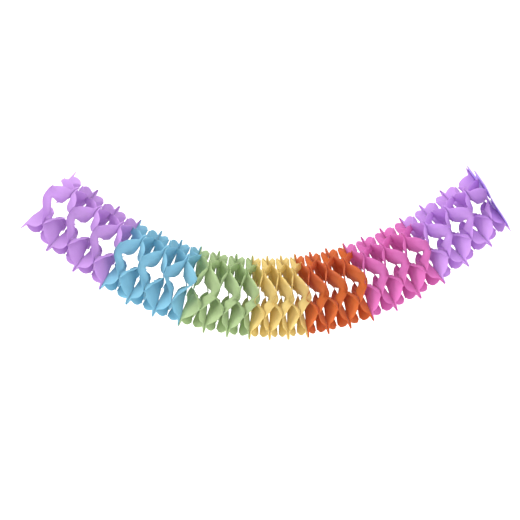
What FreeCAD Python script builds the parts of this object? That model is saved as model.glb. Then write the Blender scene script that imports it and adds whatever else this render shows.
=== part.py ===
"""Paper garland: a tube of die-cut tissue sheets, pulled open like a concertina and hung from its ends.

Every sheet has four leaves joined by narrow necks round an open middle. Neighbouring sheets are glued
along thin lines that alternate, so each sheet zigzags twelve times round the tube between two planes.
The planes are called A and B in turn. On the A planes the ridges of the first and third leaves are
glued, and the side lines of the second and fourth. On the B planes it is the other way round.

Frame: +Z up, X along the garland, with the free end towards -X. The origin is on the outer face of the
end card, on its first arm, where the card is held. Lengths are in millimetres.
"""

import math
import os

import FreeCAD
import Part

V = FreeCAD.Vector

# How many sheets
COLOURS = ("violet", "blue", "green", "yellow", "orange", "pink", "lilac")
SHEETS_PER_COLOUR = 6

# Paper and card
PAPER = 0.30                # a sheet's drawn thickness
CARD = 1.2                  # the end card's thickness
GLUE_LAND = 2.4             # width of the strip along a fold that is glued to the neighbour

# The sheet as it is cut: u across a leaf from its ridge, v outwards from the middle of the sheet
TIP = 79.0                  # v of the tongue's end
SIDE_LINE = 25.0            # u of the glue line down each side of a leaf
HOLE = 25.0                 # v of the hole's edge at the ridge
HOLE_CORNER = 15.0          # how far the ends of that edge's straight part stay off the diagonal
HOLE_HALF = HOLE - HOLE_CORNER
NECK_RISE = 10.5            # from the diagonal up to the neck's inner edge at the side line
NECK_INNER = SIDE_LINE + NECK_RISE
NECK_WIDTH = 10.0           # width of a neck
LOBE_U = 8.6                # centre of the round lobe beside the tongue
LOBE_RISE = 15.5            # from the neck's inner edge up to that centre
LOBE_V = NECK_INNER + LOBE_RISE
LOBE_R = 16.4
TONGUE_ROOT = 5.0           # half the tongue's width where it leaves the lobes
TONGUE_END = 2.2            # radius of its rounded end

# The hanging curve, and how far the sheets are pulled apart along it
SAG_CURVE = 363.0           # the catenary's constant: its radius of curvature at the lowest point
MID_PITCH = 22.0            # from one A plane to the next at the closest packed place
LEFT_GROWTH = 2.20          # how much each pitch is longer than the last, towards the left end
RIGHT_GROWTH = 1.95         # and towards the right end
CLOSEST = 10.7              # number of the closest packed place, counted in pitches from the left end
LOWEST_SHIFT = 16.3         # arc length from the lowest point to the closest packed place

# How much the leaves draw inwards as the sheets open, at the left end, the middle and the right end
DRAWN_IN = (10.3, 6.9, 17.0)

# How the section is turned about the centreline: elevation of the second leaf, towards the front
LEAF_ELEVATION = (36.0, 35.0)

# The fronts of the sheets lean towards the end card, most at the necks and not at the tongues' ends
LEAN = 14.0

# The last plane leans outwards at the top, and stands off a little
END_LEAN = 12.0
END_STAND_OFF = 1.5

# The end card's straight-cut arms
CARD_ARM_HALF = 20.5        # half the width of an arm
CARD_ARM_SHOULDER = 48.0    # v where its corners are cut off
CARD_ARM_END = 58.0         # v of its end
CARD_END_HALF = 14.0        # half the width of its end
CARD_NOTCH = 10.0           # depth of the notch between two arms
CARD_HOLD = 38.0            # v of the point on the first arm where the card is held, the origin

SHEETS = SHEETS_PER_COLOUR * len(COLOURS)
PITCHES = SHEETS // 2
REACH = TIP + 4.0           # the blank reaches this far out before it is cut
FLAT_ENOUGH = 1e-6          # how far from a plane a corner may lie


def arc_at(place):
    """Arc length from the lowest point to a place counted in pitches from the left end."""
    steps = abs(place - CLOSEST)
    growth = LEFT_GROWTH if place < CLOSEST else RIGHT_GROWTH
    run = MID_PITCH * steps + growth * steps * steps / 2.0
    return LOWEST_SHIFT + math.copysign(run, place - CLOSEST)


def between(ends, place):
    """A value that changes evenly from the left end to the right end."""
    return ends[0] + (ends[1] - ends[0]) * place / PITCHES


def drawn_in(place):
    """How far the leaves have moved inwards at a place."""
    left, middle, right = DRAWN_IN
    if place < CLOSEST:
        return middle + (left - middle) * ((CLOSEST - place) / CLOSEST) ** 2
    return middle + (right - middle) * ((place - CLOSEST) / (PITCHES - CLOSEST)) ** 2


def side_line(height):
    """Ridge to side line, as seen along the tube, once a sheet is pulled open to a height."""
    return math.sqrt(SIDE_LINE ** 2 - (height - PAPER) ** 2)


class Plane:
    """A glue plane across the tube: its middle, and the directions of the first two leaves."""

    def __init__(self, place):
        arc = arc_at(place)
        length = math.hypot(SAG_CURVE, arc)
        self.middle = V(SAG_CURVE * math.asinh(arc / SAG_CURVE), 0, length - SAG_CURVE)
        self.along = V(SAG_CURVE, 0, arc) / length
        if place == PITCHES:
            self.middle = self.middle + self.along * END_STAND_OFF
            lean = FreeCAD.Rotation(V(0, 1, 0), END_LEAN)
            self.along = lean.multVec(self.along)
        up = self.along.cross(V(0, 1, 0))
        self.lean = LEAN * min(1.0, place, PITCHES - place)
        self.side = side_line(arc_at(place + 0.25) - arc_at(place - 0.25))
        turn = math.radians(between(LEAF_ELEVATION, place))
        self.second = V(0, -1, 0) * math.cos(turn) + up * math.sin(turn)
        self.first = V(0, 1, 0) * math.sin(turn) + up * math.cos(turn)

    def at(self, x, y):
        """The point x towards the first leaf and y towards the second."""
        return self.middle + self.first * x + self.second * y

    def fold_at(self, x, y):
        """The same point on a sheet, which leans more the nearer it is to the front."""
        front = (1.0 + (y - x) / math.hypot(x, y) / math.sqrt(2.0)) / 2.0
        free = max(0.0, 1.0 - abs(y * y - x * x) / TIP ** 2)
        return self.at(x, y) + self.along * (self.lean * front ** 2 * free)


class Shape:
    """The measures of a sheet once it is pulled open to a given height between its planes."""

    def __init__(self, height, shift):
        self.side = side_line(height)
        self.squeeze = self.side / SIDE_LINE
        self.tip = TIP - shift
        self.hole = HOLE - shift
        self.hole_half = HOLE_HALF * self.squeeze
        self.neck_inner = NECK_INNER - shift
        self.neck_outer = self.neck_inner + NECK_WIDTH * math.sqrt(2.0)
        self.lobe_u = LOBE_U * self.squeeze
        self.lobe_v = LOBE_V - shift
        self.lobe_r = LOBE_R * (1.0 + self.squeeze) / 2.0


def quarter_turn(x, y, quarters):
    """The point turned by quarter turns, from the second leaf towards the third."""
    for _ in range(quarters):
        x, y = -y, x
    return x, y


def lobe_v(shape, u):
    """Height of the top of the right lobe over u."""
    return shape.lobe_v + math.sqrt(shape.lobe_r ** 2 - (u - shape.lobe_u) ** 2)


def neck_meets_lobe(shape):
    """Where the outer edge of the neck runs into the right lobe: u and v on the line u + v."""
    total = shape.side + shape.neck_outer
    middle = (total - shape.lobe_v + shape.lobe_u) / 2.0
    offset = (shape.lobe_u + shape.lobe_v - total) / math.sqrt(2.0)
    half = math.sqrt(shape.lobe_r ** 2 - offset ** 2) / math.sqrt(2.0)
    return middle + half, total - middle - half


def leaf_edges(shape, place_of):
    """One leaf's outer edges from its right neck to its left one, and the neck beyond it."""
    neck = neck_meets_lobe(shape)
    root = (TONGUE_ROOT * shape.squeeze, lobe_v(shape, TONGUE_ROOT * shape.squeeze))
    bend = (TONGUE_END, shape.tip - TONGUE_END)
    far_u = shape.lobe_u + shape.lobe_r * math.cos(math.radians(35.0))
    far_v = shape.lobe_v + shape.lobe_r * math.sin(math.radians(35.0))

    def arc(a, b, c):
        return Part.Arc(place_of(*a), place_of(*b), place_of(*c)).toShape()

    def line(a, b):
        return Part.LineSegment(place_of(*a), place_of(*b)).toShape()

    def mirrored(point):
        return -point[0], point[1]

    next_neck = (-neck[1], neck[0])
    return [
        arc(neck, (far_u, far_v), root),
        line(root, bend),
        arc(bend, (0.0, shape.tip), mirrored(bend)),
        line(mirrored(bend), mirrored(root)),
        arc(mirrored(root), (-far_u, far_v), mirrored(neck)),
        line(mirrored(neck), next_neck),
    ]


def closed_wire(corner_points):
    return Part.makePolygon(corner_points + corner_points[:1])


def placed(plane, quarters):
    """A function from a leaf's u and v to a point on a plane."""

    def place_of(u, v):
        return plane.at(*quarter_turn(u, v, quarters))

    return place_of


def hole_wire(shape, plane):
    corners = []
    for quarters in range(4):
        place_of = placed(plane, quarters)
        corners += [
            place_of(shape.side, shape.neck_inner),
            place_of(shape.hole_half, shape.hole),
            place_of(-shape.hole_half, shape.hole),
            place_of(-shape.side, shape.neck_inner),
        ]
    return closed_wire(corners)


def holed_face(outline, hole):
    return Part.Face(outline).cut(Part.Face(hole)).Faces[0]


def cutting_die(shape, plane, depth):
    """The punched outline with its hole, as a prism that reaches past both glue planes."""
    edges = []
    for quarters in range(4):
        edges += leaf_edges(shape, placed(plane, quarters))
    face = holed_face(Part.Wire(edges), hole_wire(shape, plane))
    face.translate(plane.along * -depth)
    return face.extrude(plane.along * 2.0 * depth)


def fold_lines(side):
    """The twelve folds in order round a sheet: each one's two edges, inner and outer ends, and plane."""
    half = GLUE_LAND / 2.0
    folds = []
    for quarters in range(4):
        ridge_on_a = quarters % 2 == 1
        near = side + GLUE_LAND
        for u, inner in ((side, near), (0.0, GLUE_LAND), (-side, near)):
            on_a = ridge_on_a if u == 0.0 else not ridge_on_a
            for edge in (u + half, u - half):
                start = quarter_turn(edge, inner, quarters)
                end = quarter_turn(edge, REACH, quarters)
                folds.append((start, end, on_a))
    return folds


def patches(corners):
    """Flat faces on four corners: one where they lie in a plane, and two triangles where they don't."""
    first, second, third, fourth = corners
    normal = (third - first).cross(fourth - second).normalize()
    if abs(normal.dot(second - first)) < FLAT_ENOUGH:
        return [Part.Face(closed_wire(corners))]
    return [
        Part.Face(closed_wire([first, second, third])),
        Part.Face(closed_wire([first, third, fourth])),
    ]


def pleated_blank(left, right, left_is_a, along):
    """The uncut sheet, folded to and fro between its two planes."""
    paper = along * PAPER
    sections = []
    for on_left, on_right in zip(fold_lines(left.side), fold_lines(right.side)):
        if on_left[2] == left_is_a:
            low = [left.fold_at(*end) for end in on_left[:2]]
        else:
            low = [right.fold_at(*end) - paper for end in on_right[:2]]
        sections.append(low + [low[1] + paper, low[0] + paper])
    faces = []
    for here, there in zip(sections, sections[1:] + sections[:1]):
        faces += patches([here[0], here[1], there[1], there[0]])
        faces += patches([here[1], here[2], there[2], there[1]])
        faces += patches([here[3], there[3], there[2], here[2]])
        faces += patches([here[3], here[0], there[0], there[3]])
    blank = Part.makeSolid(Part.makeShell(faces))
    if blank.Volume < 0.0:
        blank.reverse()
    return blank


def sheet(number):
    """One die-cut sheet between its two glue planes."""
    left = Plane(number / 2.0)
    right = Plane((number + 1) / 2.0)
    middle = Plane((number + 0.5) / 2.0)
    height = (right.middle - left.middle).Length
    shape = Shape(height, drawn_in(number / 2.0 + 0.25))
    blank = pleated_blank(left, right, number % 2 == 0, middle.along)
    return blank.common(cutting_die(shape, middle, height * 2.0)).Solids[0]


def end_card(last):
    """The stiff card glued to the last sheet, cut with straight edges, with the sheet's hole."""
    shape = Shape((MID_PITCH + RIGHT_GROWTH * (PITCHES - CLOSEST)) / 2.0, DRAWN_IN[2])
    corners = []
    for quarters in range(4):
        place_of = placed(last, quarters)
        corners += [
            place_of(CARD_ARM_HALF, CARD_ARM_HALF + CARD_NOTCH),
            place_of(CARD_ARM_HALF, CARD_ARM_SHOULDER),
            place_of(CARD_END_HALF, CARD_ARM_END),
            place_of(-CARD_END_HALF, CARD_ARM_END),
            place_of(-CARD_ARM_HALF, CARD_ARM_SHOULDER),
            place_of(-CARD_ARM_HALF, CARD_ARM_HALF + CARD_NOTCH),
        ]
    return holed_face(closed_wire(corners), hole_wire(shape, last)).extrude(last.along * CARD)


def main():
    os.makedirs("parts", exist_ok=True)
    last = Plane(PITCHES)
    home = (last.at(CARD_HOLD, 0.0) + last.along * CARD) * -1.0
    solids = {"end_card": end_card(last)}
    for number in range(SHEETS):
        colour = COLOURS[number // SHEETS_PER_COLOUR]
        solids[f"sheet_{number + 1:02d}_{colour}"] = sheet(number)
    for name, solid in solids.items():
        solid.translate(home)
        if len(solid.Solids) != 1 or not solid.isValid():
            raise ValueError(f"{name} isn't one valid solid")
        solid.exportStep(f"parts/{name}.step")
        print(name, round(solid.Volume), len(solid.Faces))
    print("card faces", tuple(round(value, 4) for value in last.along))


main()
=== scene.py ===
"""Paper garland: its tissue sheets, its end card and the studio round them, laid out as an add-on."""

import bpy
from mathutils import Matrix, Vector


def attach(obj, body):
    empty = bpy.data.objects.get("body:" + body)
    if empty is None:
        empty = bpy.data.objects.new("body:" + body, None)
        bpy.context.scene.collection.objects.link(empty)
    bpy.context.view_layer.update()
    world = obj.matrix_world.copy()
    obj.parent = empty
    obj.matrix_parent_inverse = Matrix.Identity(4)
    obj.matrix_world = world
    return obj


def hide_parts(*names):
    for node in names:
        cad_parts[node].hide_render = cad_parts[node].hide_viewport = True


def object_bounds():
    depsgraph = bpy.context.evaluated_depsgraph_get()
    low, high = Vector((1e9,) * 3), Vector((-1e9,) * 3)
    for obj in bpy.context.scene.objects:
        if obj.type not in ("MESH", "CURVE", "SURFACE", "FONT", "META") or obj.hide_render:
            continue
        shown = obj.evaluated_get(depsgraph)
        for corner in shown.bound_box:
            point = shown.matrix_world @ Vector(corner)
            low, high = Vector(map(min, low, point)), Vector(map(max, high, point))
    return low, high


bl_info = {
    "name": "Paper Garland",
    "version": (1, 0, 0),
    "blender": (4, 5, 0),
    "location": "View3D > Sidebar > Garland",
    "description": "Cuts tissue sheets, pulls them open into a hanging garland and lights it",
    "category": "Add Mesh",
}

import math

import bmesh
import bpy
import numpy as np
from bpy.props import FloatProperty, FloatVectorProperty, IntProperty, PointerProperty
from mathutils import Matrix, Vector

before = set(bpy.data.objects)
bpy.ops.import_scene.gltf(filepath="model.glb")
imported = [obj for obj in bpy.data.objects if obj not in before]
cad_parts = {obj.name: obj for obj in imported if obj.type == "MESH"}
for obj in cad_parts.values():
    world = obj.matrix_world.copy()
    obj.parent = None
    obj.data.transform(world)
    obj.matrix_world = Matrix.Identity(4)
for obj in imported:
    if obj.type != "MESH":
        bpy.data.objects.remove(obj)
CAD_LOW, CAD_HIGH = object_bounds()
CAD_MIDDLE = (CAD_LOW + CAD_HIGH) / 2.0

MM = 0.001

# The garland's build, in millimetres, as the solid model has it. A place along the garland is
# counted in pitches from the free end, and two sheets fill one pitch.
COLOURS = ("violet", "blue", "green", "yellow", "orange", "pink", "lilac")
SHEETS_PER_COLOUR = 6
SHEETS = SHEETS_PER_COLOUR * len(COLOURS)
PITCHES = SHEETS // 2
SAG_CURVE = 363.0               # radius of the hanging curve at its lowest point
CLOSEST = 10.7                  # place where the sheets are closest
MID_PITCH = 22.0                # the pitch there
LEFT_GROWTH = 2.20              # how much longer each pitch is than the last, on to the free end
RIGHT_GROWTH = 1.95             # and on to the card
LOWEST_SHIFT = 16.3             # arc length from the lowest point to the closest place
DRAWN_IN = (10.3, 6.9, 17.0)    # inward shift of the leaves at the free end, there and at the card
LEAF_ELEVATION = (36.0, 35.0)   # elevation of the second leaf at the free end and at the card, in degrees
END_LEAN = 12.0                 # turn of the last glue plane, in degrees
END_STAND_OFF = 1.5             # how far on that plane stands
CARD = 1.2                      # thickness of the end card
CARD_HOLD = 38.0                # how far up the card it is held, at the origin

ACROSS = np.array([0.0, 1.0, 0.0])
LEAVES = 4

# How the front edges of the sheets swing along the garland
SWING_TURNS = 5.6               # place where they stop swinging to the free end and swing to the card
SWING_CHANGE = 0.5              # how many pitches that change takes
NECK_SWING = 0.85               # share of the full twist at the front neck
SIDE_NECK_SWING = 0.6           # and at the upper and lower necks
NECK_ANGLES = (0.0, 90.0, -90.0)
NECK_SPREAD = 16.0
FRONT_NECK = (-1.0, 20.0)       # section angle and spread of the front neck's swing, in degrees
LEAF_FLANKS = (                 # share of the twist, section angle and spread, on the upper front leaf
    (0.26, 24.0, 22.0),
    (0.25, 80.0, 22.0),
)
SWING_AT_HOLE = 0.15            # share of the twist that the hole's edge has
SWING_REACH = 0.9               # share of the neck's width over which the twist grows to its full
TIP_STILL = 8.0                 # the last millimetres of a leaf, where the twist dies out

# How a sheet bends between its two glue planes
MID_SHEET = 0.25                # pitches from a sheet's first glue plane to its middle
GAPE_FALL = 1.3                 # how fast the gape closes outwards
CHORD_SHARE = 0.8               # how far out to a vertex the distance between the planes is taken
MOST_DRAWN = 0.9                # the most of a side line's offset that a chord may take up
TONGUE_FOOT = 3.0               # how far below the round lobe's top a tongue starts to open
TONGUE_RUN = 5.0                # and over what height it opens
WAVE_LENGTHS = (61.0, 37.0, 23.0)
TISSUE_SPACE = 0.02             # air between two glued sheets, so that their faces never coincide
LEAST_RUN = 1.0                 # the shortest distance that a share is taken of
TINY = 1e-6                     # keeps a division from failing
SEEDS_APART = 1000              # more than there are sheets, so that no two seeds have one in common

# How finely the sheet is cut
CORNER_STEPS = 6
LOBE_STEPS = 10
TONGUE_STEPS = 4
SLICE_REACH = 1.4               # where the slices stop, as a multiple of the neck fold's inner end
CUT_SNAP = 0.01                 # how near a slice takes a vertex for its own
WELD = 0.02                     # how near two vertices are one

# The studio, in metres
BACKDROP_HALF_WIDTH = 8.0
BACKDROP_NEAR = 8.0             # floor in front of the garland
BACKDROP_FAR = 6.5              # floor behind it, up to the bend
BACKDROP_BEND = 1.5             # radius of the bend from floor to wall
BACKDROP_RISE = 5.0             # wall above the bend
BACKDROP_STEPS = 24
BACKDROP_COLOUR = (0.95, 0.95, 0.95)
BACKDROP_ROUGHNESS = 0.9
WORLD_STRENGTH = 1.25
SENSOR_WIDTH = 36.0             # in mm
BEYOND_GARLAND = (0.0, 8.0, 0.0)
AT_GARLAND = (0.0, 0.0, 0.0)
LIGHTS = (                      # name, place and target from the garland's middle, size, watts, colour
    ("key_light", (-2.3, -1.3, 0.9), AT_GARLAND, 1.2, 52.0, (1.0, 0.99, 0.97)),
    ("fill_light", (1.6, -2.6, 0.5), AT_GARLAND, 2.0, 22.0, (0.98, 0.99, 1.0)),
    ("top_light", (0.0, 0.2, 2.2), AT_GARLAND, 2.0, 16.0, (1.0, 1.0, 1.0)),
    ("backdrop_light", (0.0, 4.0, 3.5), BEYOND_GARLAND, 3.0, 160.0, (1.0, 1.0, 1.0)),
)


# ---------------------------------------------------------------- user settings


class GarlandCut(bpy.types.PropertyGroup):
    """The flat, die-cut sheet. Its ridges are the fold lines down the middles of its leaves."""

    tip: FloatProperty(
        name="Tip", default=79.0,
        description="Middle of the sheet to the end of a tongue, in mm")
    side_line: FloatProperty(
        name="Side line", default=25.0,
        description="Ridge of a leaf to the glue line down its side, in mm")
    hole: FloatProperty(
        name="Hole", default=25.0,
        description="Middle of the sheet to the hole's edge, in mm")
    hole_half: FloatProperty(
        name="Hole half edge", default=10.0,
        description="Half the straight part of the hole's edge, in mm")
    corner: FloatProperty(
        name="Hole corner", default=8.0,
        description="Radius where the hole's edge runs into a neck, in mm")
    neck_inner: FloatProperty(
        name="Neck inner edge", default=35.5,
        description="Middle of the sheet to the neck's inner edge at the side line, in mm")
    neck_width: FloatProperty(
        name="Neck width", default=15.5,
        description="Width of the strip between two leaves, in mm")
    lobe_u: FloatProperty(
        name="Lobe offset", default=8.6,
        description="Ridge to the middle of the round lobe beside the tongue, in mm")
    lobe_v: FloatProperty(
        name="Lobe height", default=53.4,
        description="Middle of the sheet to the middle of the round lobe, in mm")
    lobe_r: FloatProperty(
        name="Lobe radius", default=14.0,
        description="Radius of the round lobe, in mm")
    small_u: FloatProperty(
        name="Small lobe offset", default=24.0,
        description="Ridge to the middle of the small lobe at the neck, in mm")
    small_v: FloatProperty(
        name="Small lobe height", default=48.5,
        description="Middle of the sheet to the middle of the small lobe, in mm")
    small_r: FloatProperty(
        name="Small lobe radius", default=9.5,
        description="Radius of the small lobe, in mm")
    tongue_root: FloatProperty(
        name="Tongue half width", default=5.0,
        description="Half the tongue's width at its root, in mm")
    tongue_end: FloatProperty(
        name="Tongue end radius", default=2.6,
        description="Radius of the tongue's end, in mm")
    mesh_step: FloatProperty(
        name="Mesh step", default=2.6,
        description="Spacing of the slices that let the sheet bend, in mm")
    thickness: FloatProperty(
        name="Tissue thickness", default=0.08,
        description="Thickness of one sheet, in mm")


class GarlandFolds(bpy.types.PropertyGroup):
    """How the sheets bend once they are pulled open."""

    roundness: FloatProperty(
        name="Roundness", default=0.35, min=0.0, max=1.0,
        description="0 for flat panels and 1 for fully rounded ones")
    gape: FloatProperty(
        name="Gape", default=0.16,
        description="How far two sheets part at the hole's edge on a ridge, as a share of their height")
    side_gape: FloatProperty(
        name="Side gape", default=0.18,
        description="How far two sheets part where a side line begins, as a share of their height")
    glue_start: FloatProperty(
        name="Glue start", default=52.0,
        description="Middle of the sheet to where the glue line begins, in mm")
    twist: FloatProperty(
        name="Twist", default=18.0,
        description="How far the front edges swing along the garland, in mm")
    hold_back: FloatProperty(
        name="Hold back", default=-0.2, min=-1.0, max=1.0,
        description="How much of the swing every other sheet's front neck has")
    tongue_spread: FloatProperty(
        name="Tongue spread", default=0.55,
        description="How flat a tongue opens, from 0 for folded shut")
    tuck: FloatProperty(
        name="Tuck", default=13.0,
        description="How far the outer edges of the necks draw inwards, in mm")
    billow: FloatProperty(
        name="Billow", default=0.9,
        description="Unevenness of the panels, in mm")
    seed: IntProperty(
        name="Seed", default=7,
        description="Seed of the unevenness")


class GarlandColours(bpy.types.PropertyGroup):
    """Tissue and card colours."""

    violet: FloatVectorProperty(
        name="Violet", subtype="COLOR", size=3, default=(0.58, 0.35, 0.71),
        description="First colour from the free end")
    blue: FloatVectorProperty(
        name="Blue", subtype="COLOR", size=3, default=(0.27, 0.56, 0.69),
        description="Second colour")
    green: FloatVectorProperty(
        name="Green", subtype="COLOR", size=3, default=(0.48, 0.60, 0.33),
        description="Third colour")
    yellow: FloatVectorProperty(
        name="Yellow", subtype="COLOR", size=3, default=(0.80, 0.66, 0.27),
        description="Fourth colour")
    orange: FloatVectorProperty(
        name="Orange", subtype="COLOR", size=3, default=(0.69, 0.18, 0.03),
        description="Fifth colour")
    pink: FloatVectorProperty(
        name="Pink", subtype="COLOR", size=3, default=(0.73, 0.22, 0.57),
        description="Sixth colour")
    lilac: FloatVectorProperty(
        name="Lilac", subtype="COLOR", size=3, default=(0.64, 0.38, 0.78),
        description="Seventh colour")
    card: FloatVectorProperty(
        name="Card", subtype="COLOR", size=3, default=(0.37, 0.25, 0.70),
        description="Faces of the end card")
    card_edge: FloatVectorProperty(
        name="Card edge", subtype="COLOR", size=3, default=(0.45, 0.37, 0.52),
        description="Cut edge of the end card")


class GarlandStudio(bpy.types.PropertyGroup):
    """Backdrop and camera."""

    distance: FloatProperty(
        name="Camera distance", default=5.0, unit="LENGTH",
        description="Camera to the point that it looks at")
    yaw: FloatProperty(
        name="Camera yaw", default=math.radians(2.3), subtype="ANGLE",
        description="Turn of the view about the vertical")
    aim_x: FloatProperty(
        name="Aim along", default=-0.0115, unit="LENGTH",
        description="View's middle beside the hanging line's lowest point")
    aim_z: FloatProperty(
        name="Aim height", default=0.0528, unit="LENGTH",
        description="View's middle above the hanging line's lowest point")
    width: FloatProperty(
        name="View width", default=0.728, unit="LENGTH",
        description="Width that the view covers at the garland")
    floor_drop: FloatProperty(
        name="Floor drop", default=0.55, unit="LENGTH",
        description="Floor below the garland's lowest point")


# ---------------------------------------------------------------- the hanging curve


def arc_at(place):
    """Arc length from the lowest point to a place, in mm."""
    steps = abs(place - CLOSEST)
    growth = LEFT_GROWTH if place < CLOSEST else RIGHT_GROWTH
    run = MID_PITCH * steps + growth * steps * steps / 2.0
    return LOWEST_SHIFT + math.copysign(run, place - CLOSEST)


def drawn_in(place):
    """How far the leaves have moved inwards at a place, in mm."""
    left, middle, right = DRAWN_IN
    if place < CLOSEST:
        return middle + (left - middle) * ((CLOSEST - place) / CLOSEST) ** 2
    return middle + (right - middle) * ((place - CLOSEST) / (PITCHES - CLOSEST)) ** 2


def swing_at(place):
    """Which way the front edges swing at a place: from -1, to the free end, to 1, to the end card."""
    return math.tanh((place - SWING_TURNS) / SWING_CHANGE)


class GluePlane:
    """A plane across the garland: its middle, its normal, and the way to the first two leaves."""

    def __init__(self, place):
        arc = arc_at(place)
        length = math.hypot(SAG_CURVE, arc)
        self.middle = np.array([SAG_CURVE * math.asinh(arc / SAG_CURVE), 0.0, length - SAG_CURVE])
        self.along = np.array([SAG_CURVE, 0.0, arc]) / length
        if place == PITCHES:
            self.middle = self.middle + self.along * END_STAND_OFF
            lean = math.radians(END_LEAN)
            x, _, z = self.along
            ahead = x * math.cos(lean) + z * math.sin(lean)
            rise = z * math.cos(lean) - x * math.sin(lean)
            self.along = np.array([ahead, 0.0, rise])
        up = np.cross(self.along, ACROSS)
        low, high = LEAF_ELEVATION
        turn = math.radians(low + (high - low) * place / PITCHES)
        self.second = -ACROSS * math.cos(turn) + up * math.sin(turn)
        self.first = ACROSS * math.sin(turn) + up * math.cos(turn)
        # the glue plane on the card stays flat, so the swing dies out over the last pitch
        self.swing = swing_at(place) * min(1.0, PITCHES - place)

    def at(self, x, y):
        """Points x towards the first leaf and y towards the second."""
        return self.middle + np.multiply.outer(x, self.first) + np.multiply.outer(y, self.second)

    def fold_at(self, x, y, twist):
        """The same points on a sheet whose front edges have swung along the garland."""
        return self.at(x, y) + np.multiply.outer(self.swing * twist, self.along)


LAST = GluePlane(PITCHES)
HOME = -(LAST.at(CARD_HOLD, 0.0) + LAST.along * CARD)


# ---------------------------------------------------------------- the flat sheet


def everything_in(mesh):
    """All of a bmesh's geometry, for an operator."""
    return mesh.verts[:] + mesh.edges[:] + mesh.faces[:]


def verts_among(geometry):
    """The vertices in an operator's result."""
    return [part for part in geometry if isinstance(part, bmesh.types.BMVert)]


def join(mesh, corners):
    """Edges between the corners, in order."""
    for a, b in zip(corners, corners[1:]):
        mesh.edges.new((a, b))


def walk(mesh, points):
    """Vertices at the flat points, joined in order. Returns the vertices."""
    corners = [mesh.verts.new((x, y, 0.0)) for x, y in points]
    join(mesh, corners)
    return corners


def arc_round(mesh, corner, centre, degrees, steps):
    """Spins a corner about a centre into an arc of edges. Returns the arc's last vertex."""
    spun = bmesh.ops.spin(
        mesh, geom=[corner], cent=(*centre, 0.0), axis=(0, 0, 1), dvec=(0, 0, 0),
        angle=math.radians(degrees), steps=steps, space=Matrix.Identity(4),
        use_duplicate=False, use_merge=False,
    )
    return verts_among(spun["geom_last"])[0]


def bearing(centre, point):
    """Direction from a centre to a point, in degrees."""
    return math.degrees(math.atan2(point[1] - centre[1], point[0] - centre[0]))


def cut_half_leaf(mesh, cut):
    """Half a leaf with half a neck, ridge on +Y, as one face whose edges follow the die."""
    neck_outer = cut.neck_inner + cut.neck_width * math.sqrt(2.0)
    total = cut.side_line + neck_outer                  # u + v all along the neck's outer edge
    fold = (cut.neck_inner + cut.side_line) / 2.0       # u and v of the inner end of the neck's fold
    lobe, small = (cut.lobe_u, cut.lobe_v), (cut.small_u, cut.small_v)

    # where the neck's outer edge runs into the small lobe
    middle = (total - small[1] + small[0]) / 2.0
    offset = (small[0] + small[1] - total) / math.sqrt(2.0)
    half = math.sqrt(cut.small_r ** 2 - offset ** 2) / math.sqrt(2.0)
    meet = (middle + half, total - middle - half)

    # the notch between the two lobes
    apart = math.dist(lobe, small)
    towards = (cut.lobe_r ** 2 - cut.small_r ** 2 + apart ** 2) / (2.0 * apart)
    aside = math.sqrt(cut.lobe_r ** 2 - towards ** 2)
    ahead = ((small[0] - lobe[0]) / apart, (small[1] - lobe[1]) / apart)
    notch = (
        lobe[0] + ahead[0] * towards - ahead[1] * aside,
        lobe[1] + ahead[1] * towards + ahead[0] * aside,
    )

    # where the tongue leaves the round lobe
    root_v = cut.lobe_v + math.sqrt(cut.lobe_r ** 2 - (cut.tongue_root - cut.lobe_u) ** 2)
    root = (cut.tongue_root, root_v)
    tongue_middle = (0.0, cut.tip - cut.tongue_end)

    # the rounded corner where the hole meets the neck
    climb = math.atan2(cut.neck_inner - cut.hole, cut.side_line - cut.hole_half)
    turn = climb + math.radians(45.0)
    back = cut.corner * math.tan(turn / 2.0)
    corner = (cut.side_line - back * math.cos(climb), cut.neck_inner - back * math.sin(climb))
    corner_middle = (
        corner[0] + cut.corner * math.sin(climb),
        corner[1] - cut.corner * math.cos(climb),
    )

    hole_edge = walk(mesh, [(0.0, cut.hole), (cut.hole_half, cut.hole), corner])
    neck_start = arc_round(mesh, hole_edge[-1], corner_middle, -math.degrees(turn), CORNER_STEPS)
    neck_edge = walk(mesh, [(fold, fold), (total / 2.0, total / 2.0), meet])
    join(mesh, [neck_start, neck_edge[0]])
    sweep = bearing(small, notch) - bearing(small, meet)
    notched = arc_round(mesh, neck_edge[-1], small, sweep, LOBE_STEPS)
    sweep = bearing(lobe, root) - bearing(lobe, notch)
    lobe_end = arc_round(mesh, notched, lobe, sweep, LOBE_STEPS)
    bend = mesh.verts.new((cut.tongue_end, tongue_middle[1], 0.0))
    join(mesh, [lobe_end, bend])
    top = arc_round(mesh, bend, tongue_middle, 90.0, TONGUE_STEPS)
    join(mesh, [top, hole_edge[0]])
    bmesh.ops.contextual_create(mesh, geom=mesh.edges[:])

    # slices both ways, so that the face can bend
    for count in range(1, int(fold * SLICE_REACH / cut.mesh_step)):
        slice_at(mesh, (count * cut.mesh_step, 0, 0), (1, 0, 0))
    for count in range(int((cut.tip - cut.hole) / cut.mesh_step) + 1):
        slice_at(mesh, (0, cut.hole + (count + 0.5) * cut.mesh_step, 0), (0, 1, 0))


def slice_at(mesh, point, normal):
    """Cuts every face along a plane, and keeps both parts."""
    bmesh.ops.bisect_plane(
        mesh, geom=everything_in(mesh), dist=CUT_SNAP, plane_co=point, plane_no=normal)


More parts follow.
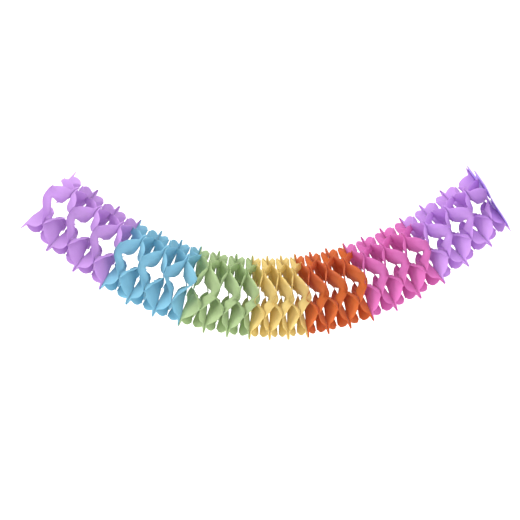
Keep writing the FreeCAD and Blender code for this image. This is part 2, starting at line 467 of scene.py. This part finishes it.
def cut_sheet(cut):
    """The whole sheet in mm as a slab one unit thick, its second leaf towards +Y."""
    mesh = bmesh.new()
    cut_half_leaf(mesh, cut)
    bmesh.ops.mirror(
        mesh, geom=everything_in(mesh), matrix=Matrix.Identity(4), merge_dist=CUT_SNAP, axis="X")
    bmesh.ops.spin(
        mesh, geom=everything_in(mesh), cent=(0, 0, 0), axis=(0, 0, 1), dvec=(0, 0, 0),
        angle=math.radians(360.0 * (LEAVES - 1) / LEAVES), steps=LEAVES - 1,
        space=Matrix.Identity(4), use_duplicate=True, use_merge=False,
    )
    bmesh.ops.remove_doubles(mesh, verts=mesh.verts[:], dist=WELD)
    bmesh.ops.recalc_face_normals(mesh, faces=mesh.faces[:])
    if sum(face.normal.z for face in mesh.faces) < 0.0:
        bmesh.ops.reverse_faces(mesh, faces=mesh.faces[:])
    lifted = bmesh.ops.extrude_face_region(mesh, geom=mesh.faces[:], use_keep_orig=True)
    bmesh.ops.translate(mesh, verts=verts_among(lifted["geom"]), vec=(0.0, 0.0, 1.0))
    bmesh.ops.recalc_face_normals(mesh, faces=mesh.faces[:])
    return mesh


# ---------------------------------------------------------------- pulling it open


def rounded(t, roundness):
    """From 0 to 1, straight or with rounded ends."""
    return (1.0 - roundness) * t + roundness * t * t * (3.0 - 2.0 * t)


def waves(x, y, rng):
    """Low, uneven waves over the sheet, between -1 and 1."""
    total = np.zeros_like(x)
    for length in WAVE_LENGTHS:
        angle, phase = rng.uniform(0.0, 2.0 * math.pi, 2)
        total += np.sin((x * math.cos(angle) + y * math.sin(angle)) * 2.0 * math.pi / length + phase)
    return total / len(WAVE_LENGTHS)


def leaf_measures(x, y):
    """Each vertex in the measures of its own leaf: the leaf's number, u across it and v outwards."""
    leaf = np.where(np.abs(x) <= np.abs(y), np.where(y > 0, 0, 2), np.where(x < 0, 1, 3))
    return leaf, np.choose(leaf, [x, y, -x, -y]), np.choose(leaf, [y, -x, -y, x])


def height_from_ridge(across, v, beyond, share, cut, folds):
    """Share of the way from a ridge's glue plane to the other one, for each vertex."""
    past_glue = folds.glue_start - v
    gape = folds.gape * np.clip(past_glue / (folds.glue_start - cut.hole), 0.0, 1.0) ** GAPE_FALL
    neck_run = folds.glue_start - cut.neck_inner
    side_gape = folds.side_gape * np.clip(past_glue / neck_run, 0.0, 1.0)
    in_leaf = np.clip(across / cut.side_line, 0.0, 1.0)
    leaf = gape + (1.0 - gape - side_gape) * rounded(in_leaf, folds.roundness)
    # past the side line a neck crosses back from one plane to the other
    past_neck = folds.glue_start + cut.side_line - across - v
    neck_gape = folds.side_gape * np.clip(past_neck / neck_run, 0.0, 1.0)
    neck = 1.0 - neck_gape - (1.0 - 2.0 * neck_gape) * rounded(share, folds.roundness)
    return np.where(beyond > 0.0, neck, leaf)


def front_swing(x, y, share, number, cut, folds):
    """How far each vertex draws in, as a share of its way out, and how far it swings, in mm."""
    section = np.degrees(np.arctan2(y + x, y - x))
    radius = np.hypot(x, y)
    hole_radius = (cut.neck_inner + cut.side_line) / math.sqrt(2.0)
    outwards = np.clip((radius - hole_radius) / (cut.neck_width * SWING_REACH), 0.0, 1.0)
    outwards = SWING_AT_HOLE + (1.0 - SWING_AT_HOLE) * rounded(outwards, 1.0)
    free = np.clip((cut.tip - np.maximum(np.abs(x), np.abs(y))) / TIP_STILL, 0.0, 1.0)
    moved = outwards * free
    swing = swing_at(number / 2.0 + MID_SHEET)
    leads = (number % 2 == 1) == (swing > 0.0)

    def near(middle, spread):
        """1 at a section angle and less with the distance from it."""
        return np.exp(-(((section - middle + 180.0) % 360.0 - 180.0) / spread) ** 2)

    # between their glued ends the front necks swing one way, with every other one held back
    free_neck = np.sin(math.pi * share)
    kept = 1.0 if leads else 1.0 + (folds.hold_back - 1.0) * free_neck
    front = near(*FRONT_NECK) * NECK_SWING * kept
    sides = (near(90.0, NECK_SPREAD) + near(-90.0, NECK_SPREAD)) * free_neck
    sides = sides * (SIDE_NECK_SWING if leads else -SIDE_NECK_SWING)
    flanks = sum(amount * near(middle, spread) for amount, middle, spread in LEAF_FLANKS)
    necks = sum(near(middle, NECK_SPREAD) for middle in NECK_ANGLES)
    inwards = folds.tuck * abs(swing) * necks * moved / radius
    return inwards, folds.twist * (front + sides + flanks) * moved


def pulled_open(flat, number, cut, folds):
    """Where the flat sheet's vertices go once the sheet hangs between its two glue planes, in mm."""
    x, y, layer = flat.T
    side = cut.side_line
    rng = np.random.default_rng(folds.seed * SEEDS_APART + number)
    left, right = GluePlane(number / 2.0), GluePlane((number + 1) / 2.0)
    leaf, u, v = leaf_measures(x, y)
    across = np.abs(u)
    beyond = np.maximum(across - side, 0.0)
    share = np.where(beyond > 0.0, beyond / np.maximum(beyond + v - side, TINY), 0.0)
    chord = right.at(x * CHORD_SHARE, y * CHORD_SHARE) - left.at(x * CHORD_SHARE, y * CHORD_SHARE)
    apart = np.linalg.norm(chord, axis=1)

    # how high each vertex stands between the two planes, with the tongues spread
    rise = height_from_ridge(across, v, beyond, share, cut, folds)
    tongue = np.clip((v - cut.lobe_v - cut.lobe_r + TONGUE_FOOT) / TONGUE_RUN, 0.0, 1.0)
    spread = across * folds.tongue_spread / np.maximum(apart, LEAST_RUN)
    rise = rise + tongue * (beyond <= 0.0) * np.maximum(spread - rise, 0.0)
    on_right = (leaf % 2 == 0) != (number % 2 == 1)
    height = np.where(on_right, 1.0 - rise, rise)
    unglued = 4.0 * height * (1.0 - height)
    swell = waves(x, y, rng) * folds.billow * unglued / np.maximum(apart, LEAST_RUN)
    height = np.clip(height + swell, 0.0, 1.0)

    # how far the folding draws each vertex across its leaf and inwards
    shift = drawn_in(number / 2.0 + MID_SHEET)
    drawn = np.sqrt(side ** 2 - np.minimum(apart, side * MOST_DRAWN) ** 2)
    corner = across + v
    shrink = (corner - side - shift - drawn) / np.maximum(corner - 2.0 * side, LEAST_RUN)
    across_open = np.where(beyond > 0.0, drawn + beyond * shrink, across * drawn / side)
    v_open = np.where(beyond > 0.0, drawn + (v - side) * shrink, v - shift)
    u_open = np.copysign(across_open, u)
    x_open = np.choose(leaf, [u_open, -v_open, -u_open, v_open])
    y_open = np.choose(leaf, [v_open, u_open, -v_open, -u_open])

    inwards, twist = front_swing(x, y, share, number, cut, folds)
    x_open, y_open = x_open * (1.0 - inwards), y_open * (1.0 - inwards)
    low, high = left.fold_at(x_open, y_open, twist), right.fold_at(x_open, y_open, twist)
    gap = (high - low) / np.maximum(np.linalg.norm(high - low, axis=1), TINY)[:, None]
    low = low + gap * (TISSUE_SPACE / 2.0 + cut.thickness * layer)[:, None]
    high = high - gap * (TISSUE_SPACE / 2.0 + cut.thickness * (1.0 - layer))[:, None]
    return low + (high - low) * height[:, None] + HOME


# ---------------------------------------------------------------- materials


def new_material(name):
    """An empty node material. Returns it, its tree and a function that adds a node."""
    material = bpy.data.materials.new(name)
    material.use_nodes = True
    tree = material.node_tree
    tree.nodes.clear()

    def add(kind, **values):
        """A node with its inputs, or else its own properties, set by name."""
        node = tree.nodes.new(kind)
        for key, value in values.items():
            if key in node.inputs:
                node.inputs[key].default_value = value
            else:
                setattr(node, key, value)
        return node

    return material, tree, add


def mix_colours(add, link, first, second, amount):
    """The output of a colour mix, from the first at 0 to the second at 1, by a node's output."""
    colour_a, colour_b, result = 6, 7, 2          # the mix node's colour sockets
    mixed = add("ShaderNodeMix", data_type="RGBA")
    mixed.inputs[colour_a].default_value = (*first, 1.0)
    mixed.inputs[colour_b].default_value = (*second, 1.0)
    link(amount, mixed.inputs[0])
    return mixed.outputs[result]


def tissue_material(name, colour):
    """Thin dyed tissue: matt, lit through from behind, with mottled fibres."""
    fibre_share, cloud_share = 0.45, 0.55
    through_share, gauze_share = 0.45, 0.06
    deep_tint, pale_tint, pale_lift = 0.86, 1.12, 0.03
    material, tree, add = new_material(name)
    link = tree.links.new

    # mottled colour: fine fibres over broad clouds
    place = add("ShaderNodeTexCoord").outputs["Object"]
    fibres = add("ShaderNodeTexNoise", Scale=900.0, Detail=4.0, Roughness=0.6)
    clouds = add("ShaderNodeTexNoise", Scale=70.0, Detail=3.0, Roughness=0.5)
    link(place, fibres.inputs["Vector"])
    link(place, clouds.inputs["Vector"])
    cloudy = add("ShaderNodeMath", operation="MULTIPLY")
    cloudy.inputs[1].default_value = cloud_share
    link(clouds.outputs["Fac"], cloudy.inputs[0])
    mottle = add("ShaderNodeMath", operation="MULTIPLY_ADD")
    mottle.inputs[1].default_value = fibre_share
    link(fibres.outputs["Fac"], mottle.inputs[0])
    link(cloudy.outputs[0], mottle.inputs[2])
    deep = [c * deep_tint for c in colour]
    pale = [min(1.0, c * pale_tint + pale_lift) for c in colour]
    tint = mix_colours(add, link, deep, pale, mottle.outputs[0])

    bump = add("ShaderNodeBump", Strength=0.25, Distance=0.0002)
    link(fibres.outputs["Fac"], bump.inputs["Height"])
    front = add("ShaderNodeBsdfPrincipled", Roughness=0.85)
    front.inputs["Specular IOR Level"].default_value = 0.2
    front.inputs["Sheen Weight"].default_value = 0.15
    front.inputs["Sheen Roughness"].default_value = 0.6
    link(tint, front.inputs["Base Color"])
    link(bump.outputs["Normal"], front.inputs["Normal"])

    # some light comes through the paper, and a little straight through its weave
    through = add("ShaderNodeBsdfTranslucent")
    link(tint, through.inputs["Color"])
    paper = add("ShaderNodeMixShader", Fac=through_share)
    link(front.outputs[0], paper.inputs[1])
    link(through.outputs[0], paper.inputs[2])
    gauze = add("ShaderNodeMixShader", Fac=gauze_share)
    link(paper.outputs[0], gauze.inputs[1])
    link(add("ShaderNodeBsdfTransparent").outputs[0], gauze.inputs[2])
    link(gauze.outputs[0], add("ShaderNodeOutputMaterial").inputs["Surface"])
    return material


def card_material(colour, edge):
    """Stiff matt card, with a cut edge of another colour."""
    material, tree, add = new_material("end_card_stock")
    link = tree.links.new
    grain = add("ShaderNodeTexNoise", Scale=600.0, Detail=5.0)
    link(add("ShaderNodeTexCoord").outputs["Object"], grain.inputs["Vector"])

    # a surface that looks along the garland is a face, and any other is the cut edge
    facing = add("ShaderNodeVectorMath", operation="DOT_PRODUCT")
    facing.inputs[1].default_value = tuple(LAST.along)
    link(add("ShaderNodeNewGeometry").outputs["Normal"], facing.inputs[0])
    size = add("ShaderNodeMath", operation="ABSOLUTE")
    link(facing.outputs["Value"], size.inputs[0])
    rim = add("ShaderNodeMath", operation="LESS_THAN")
    rim.inputs[1].default_value = 0.5
    link(size.outputs[0], rim.inputs[0])

    bump = add("ShaderNodeBump", Strength=0.2, Distance=0.0002)
    link(grain.outputs["Fac"], bump.inputs["Height"])
    board = add("ShaderNodeBsdfPrincipled", Roughness=0.7)
    link(mix_colours(add, link, colour, edge, rim.outputs[0]), board.inputs["Base Color"])
    link(bump.outputs["Normal"], board.inputs["Normal"])
    link(board.outputs[0], add("ShaderNodeOutputMaterial").inputs["Surface"])
    return material


def backdrop_material():
    """Matt studio paper."""
    material, tree, add = new_material("backdrop_paper")
    paper = add("ShaderNodeBsdfPrincipled", Roughness=BACKDROP_ROUGHNESS)
    paper.inputs["Base Color"].default_value = (*BACKDROP_COLOUR, 1.0)
    tree.links.new(paper.outputs[0], add("ShaderNodeOutputMaterial").inputs["Surface"])
    return material


# ---------------------------------------------------------------- operators


def make_object(mesh, name, material):
    """A new object from a mesh, with one material, in the scene."""
    made = bpy.data.objects.new(name, mesh)
    mesh.materials.append(material)
    bpy.context.scene.collection.objects.link(made)
    return made


def aim_at(thing, target):
    """Turns a light or camera to look at a point."""
    thing.rotation_euler = (Vector(target) - thing.location).to_track_quat("-Z", "Y").to_euler()


class GARLAND_OT_sheets(bpy.types.Operator):
    """Cuts the tissue sheets and hangs them, pulled open, between their glue planes"""

    bl_idname = "garland.sheets"
    bl_label = "Tissue Sheets"

    def execute(self, context):
        scene = context.scene
        cut, folds, colours = scene.garland_cut, scene.garland_folds, scene.garland_colours
        blank = cut_sheet(cut)
        pattern = bpy.data.meshes.new("tissue_blank")
        blank.to_mesh(pattern)
        blank.free()
        flat = np.zeros(len(pattern.vertices) * 3)
        pattern.vertices.foreach_get("co", flat)
        flat = flat.reshape(-1, 3)
        dyed = {name: tissue_material(f"tissue_{name}", getattr(colours, name)) for name in COLOURS}
        for number in range(SHEETS):
            colour = COLOURS[number // SHEETS_PER_COLOUR]
            node = f"sheet_{number + 1:02d}_{colour}"
            mesh = pattern.copy()
            mesh.name = node + "_tissue"
            hung = pulled_open(flat, number, cut, folds) * MM
            mesh.vertices.foreach_set("co", hung.ravel())
            mesh.shade_smooth()
            mesh.update()
            piece = make_object(mesh, node + "_tissue", dyed[colour])
            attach(piece, "root")
            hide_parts(node)
        bpy.data.meshes.remove(pattern)
        return {"FINISHED"}


class GARLAND_OT_end_card(bpy.types.Operator):
    """Gives the end card its stock"""

    bl_idname = "garland.end_card"
    bl_label = "End Card"

    def execute(self, context):
        colours = context.scene.garland_colours
        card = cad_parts["end_card"]
        card.data.materials.clear()
        card.data.materials.append(card_material(colours.card, colours.card_edge))
        return {"FINISHED"}


class GARLAND_OT_studio(bpy.types.Operator):
    """Puts up the pale floor and backdrop, the lights and the camera"""

    bl_idname = "garland.studio"
    bl_label = "Studio"

    def execute(self, context):
        studio = context.scene.garland_studio
        self.put_up_backdrop(CAD_LOW.z - studio.floor_drop)
        self.put_up_lights(context.scene)
        self.put_up_camera(context.scene, studio)
        return {"FINISHED"}

    def put_up_backdrop(self, floor_z):
        """A sheet of paper that runs from the floor up the wall in one bend."""
        left = CAD_MIDDLE.x - BACKDROP_HALF_WIDTH
        sweep = bmesh.new()
        near = sweep.verts.new((left, CAD_MIDDLE.y - BACKDROP_NEAR, floor_z))
        far = sweep.verts.new((left, CAD_MIDDLE.y + BACKDROP_FAR, floor_z))
        sweep.edges.new((near, far))
        bend = bmesh.ops.spin(
            sweep, geom=[far], cent=(far.co.x, far.co.y, floor_z + BACKDROP_BEND),
            axis=(1, 0, 0), dvec=(0, 0, 0), angle=math.radians(90.0), steps=BACKDROP_STEPS,
            space=Matrix.Identity(4), use_duplicate=False, use_merge=False,
        )
        last = verts_among(bend["geom_last"])[0]
        top = sweep.verts.new(last.co + Vector((0.0, 0.0, BACKDROP_RISE)))
        sweep.edges.new((last, top))
        drawn = bmesh.ops.extrude_edge_only(sweep, edges=sweep.edges[:])
        across = (2.0 * BACKDROP_HALF_WIDTH, 0.0, 0.0)
        bmesh.ops.translate(sweep, verts=verts_among(drawn["geom"]), vec=across)
        bmesh.ops.recalc_face_normals(sweep, faces=sweep.faces[:])
        mesh = bpy.data.meshes.new("backdrop")
        sweep.to_mesh(mesh)
        sweep.free()
        mesh.shade_smooth()
        make_object(mesh, "backdrop", backdrop_material())

    def put_up_lights(self, scene):
        """The soft area lights and an even, bright surround."""
        for name, place, target, size, energy, colour in LIGHTS:
            lamp = bpy.data.lights.new(name, "AREA")
            lamp.size = size
            lamp.energy = energy
            lamp.color = colour
            light = bpy.data.objects.new(name, lamp)
            scene.collection.objects.link(light)
            light.location = CAD_MIDDLE + Vector(place)
            aim_at(light, CAD_MIDDLE + Vector(target))
        world = bpy.data.worlds.new("studio")
        scene.world = world
        world.use_nodes = True
        surround = world.node_tree.nodes["Background"]
        surround.inputs["Color"].default_value = (1.0, 1.0, 1.0, 1.0)
        surround.inputs["Strength"].default_value = WORLD_STRENGTH
        scene.view_settings.view_transform = "Standard"

    def put_up_camera(self, scene, studio):
        """A long lens level with its aim, a little to one side."""
        lens = bpy.data.cameras.new("view")
        camera = bpy.data.objects.new("view", lens)
        scene.collection.objects.link(camera)
        lens.sensor_width = SENSOR_WIDTH
        lens.lens = lens.sensor_width * studio.distance / studio.width
        aim = Vector(HOME * MM) + Vector((studio.aim_x, 0.0, studio.aim_z))
        ahead = Vector((math.sin(studio.yaw), math.cos(studio.yaw), 0.0))
        camera.location = aim - ahead * studio.distance
        aim_at(camera, aim)
        scene.camera = camera


class GARLAND_PT_panel(bpy.types.Panel):
    """Lists the garland's pieces and the studio"""

    bl_idname = "GARLAND_PT_panel"
    bl_label = "Paper Garland"
    bl_space_type = "VIEW_3D"
    bl_region_type = "UI"
    bl_category = "Garland"

    def draw(self, context):
        for operator in OPERATORS:
            self.layout.operator(operator.bl_idname)
        for name in SETTINGS:
            group = getattr(context.scene, name)
            box = self.layout.box()
            for key in group.__annotations__:
                box.prop(group, key)


SETTINGS = {
    "garland_cut": GarlandCut,
    "garland_folds": GarlandFolds,
    "garland_colours": GarlandColours,
    "garland_studio": GarlandStudio,
}
OPERATORS = (GARLAND_OT_sheets, GARLAND_OT_end_card, GARLAND_OT_studio)
CLASSES = (*SETTINGS.values(), *OPERATORS, GARLAND_PT_panel)


def register():
    """Adds the classes and hangs the settings on the scene."""
    for kind in CLASSES:
        bpy.utils.register_class(kind)
    for name, group in SETTINGS.items():
        setattr(bpy.types.Scene, name, PointerProperty(type=group))


def unregister():
    """Takes the settings and the classes away again."""
    for name in SETTINGS:
        delattr(bpy.types.Scene, name)
    for kind in reversed(CLASSES):
        bpy.utils.unregister_class(kind)


def main():
    """Makes every piece and the studio."""
    register()
    bpy.ops.garland.sheets()
    bpy.ops.garland.end_card()
    bpy.ops.garland.studio()


if __name__ == "__main__":
    main()
